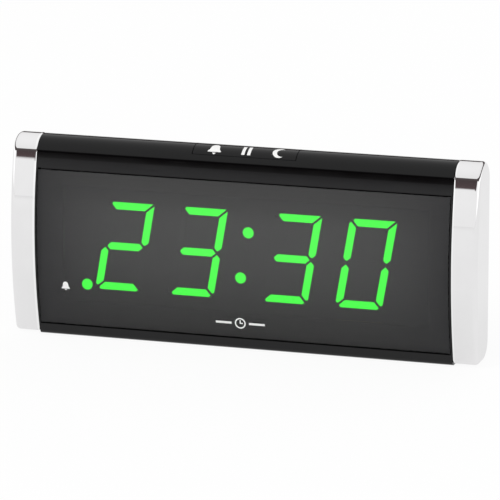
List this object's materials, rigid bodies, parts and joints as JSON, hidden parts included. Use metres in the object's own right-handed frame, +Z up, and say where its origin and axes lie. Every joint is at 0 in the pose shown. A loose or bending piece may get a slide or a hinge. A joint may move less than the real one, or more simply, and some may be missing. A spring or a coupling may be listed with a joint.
{
  "type": "digital led desk clock",
  "caption": "Wide lens-fronted mains desk clock: smoked window over a slanted green LED time display, bright end caps, alarm pause bar on top, set buttons and cell door behind.",
  "frame": {"origin": "on the table, midway between the ends, the front and the back", "axes": "+X to the right seen from the front, +Y to the back, +Z up"},
  "size_m": [0.2, 0.046, 0.0846],
  "materials": {
    "gloss_black": "polished moulding",
    "satin_black": "fine spark-eroded texture",
    "smoked_window": "smoked acrylic, polished",
    "bright_chrome": "mirror plated",
    "button_grey": "satin",
    "switch_black": "matt",
    "bright_steel": "nickel plated",
    "screw_steel": "zinc plated",
    "core_steel": "varnished laminations",
    "winding_copper": "taped winding",
    "capacitor_can": "shrink sleeve on a can",
    "cell_wrap": "plain printed sleeve",
    "circuit_board": "solder mask",
    "white_nylon": "natural nylon",
    "ribbon_grey": "flat ribbon",
    "wire_sleeve": "smooth sleeve",
    "soft_rubber": "matt",
    "reflector_black": "black face",
    "led_resin": "clear resin",
    "unlit_segment": "tinted light guide",
    "lit_green": "lit light guide"
  },
  "bodies": {
    "base": {"front_shell": "gloss_black", "display_window": "smoked_window", "left_end_cap": "bright_chrome", "right_end_cap": "bright_chrome", "rear_shell": "satin_black", "pause_board": "circuit_board", "display_board": "circuit_board", "main_board": "circuit_board", "alarm_slide_switch": "bright_steel", "alarm_buzzer": "switch_black", "clock_chip": "switch_black", "capacitors": "capacitor_can", "rectifier_diodes": "switch_black", "timing_crystal": "bright_steel", "ribbon_connectors": "white_nylon", "link_ribbon": "ribbon_grey", "transformer_core": "core_steel", "transformer_winding": "winding_copper", "transformer_bracket": "bright_steel", "battery_tray": "satin_black", "upper_cell": "cell_wrap", "lower_cell": "cell_wrap", "battery_contacts": "bright_steel", "cord_gland": "soft_rubber", "display_reflector": "reflector_black", "segment_leds": "led_resin", "unlit_segments": "unlit_segment", "colon_dots": "lit_green", "alarm_dot": "lit_green", "shell_screws": "screw_steel", "board_screws": "screw_steel", "transformer_screws": "screw_steel", "hookup_wires": "wire_sleeve", "pause_switch": "switch_black", "hour_tens_segments": "lit_green", "hour_ones_segments": "lit_green", "minute_tens_segments": "lit_green", "minute_ones_segments": "lit_green", "time_switch": "switch_black", "alarm_switch": "switch_black", "hour_switch": "switch_black", "minute_switch": "switch_black", "foot_front_left": "soft_rubber", "foot_front_right": "soft_rubber", "foot_rear_left": "soft_rubber", "foot_rear_right": "soft_rubber"},
    "pause_bar_body": {"pause_bar": "gloss_black", "pause_plunger": "switch_black"},
    "time_button_body": {"time_button": "button_grey", "time_plunger": "switch_black"},
    "alarm_button_body": {"alarm_button": "button_grey", "alarm_plunger": "switch_black"},
    "hour_button_body": {"hour_button": "button_grey", "hour_plunger": "switch_black"},
    "minute_button_body": {"minute_button": "button_grey", "minute_plunger": "switch_black"},
    "alarm_slider_body": {"alarm_slider": "button_grey", "alarm_lever": "switch_black"},
    "battery_door_body": {"battery_door": "satin_black"}
  },
  "joints": [
    {"name": "pause_bar_press", "type": "slide", "parent": "base", "child": "pause_bar_body", "axis": [0, 0, -1], "range_m": [0, 0.0008], "stiffness_N_per_m": 800, "springref_m": -0.0005},
    {"name": "time_button_press", "type": "slide", "parent": "base", "child": "time_button_body", "axis": [0, -1, 0], "range_m": [0, 0.0005], "stiffness_N_per_m": 800, "springref_m": -0.0005},
    {"name": "alarm_button_press", "type": "slide", "parent": "base", "child": "alarm_button_body", "axis": [0, -1, 0], "range_m": [0, 0.0005], "stiffness_N_per_m": 800, "springref_m": -0.0005},
    {"name": "hour_button_press", "type": "slide", "parent": "base", "child": "hour_button_body", "axis": [0, -1, 0], "range_m": [0, 0.0005], "stiffness_N_per_m": 800, "springref_m": -0.0005},
    {"name": "minute_button_press", "type": "slide", "parent": "base", "child": "minute_button_body", "axis": [0, -1, 0], "range_m": [0, 0.0005], "stiffness_N_per_m": 800, "springref_m": -0.0005},
    {"name": "alarm_slider_slide", "type": "slide", "parent": "base", "child": "alarm_slider_body", "axis": [1, 0, 0], "range_m": [0, 0.002]},
    {"name": "battery_door_pull", "type": "slide", "parent": "base", "child": "battery_door_body", "axis": [0, 1, 0], "range_m": [0, 0.015]}
  ]
}
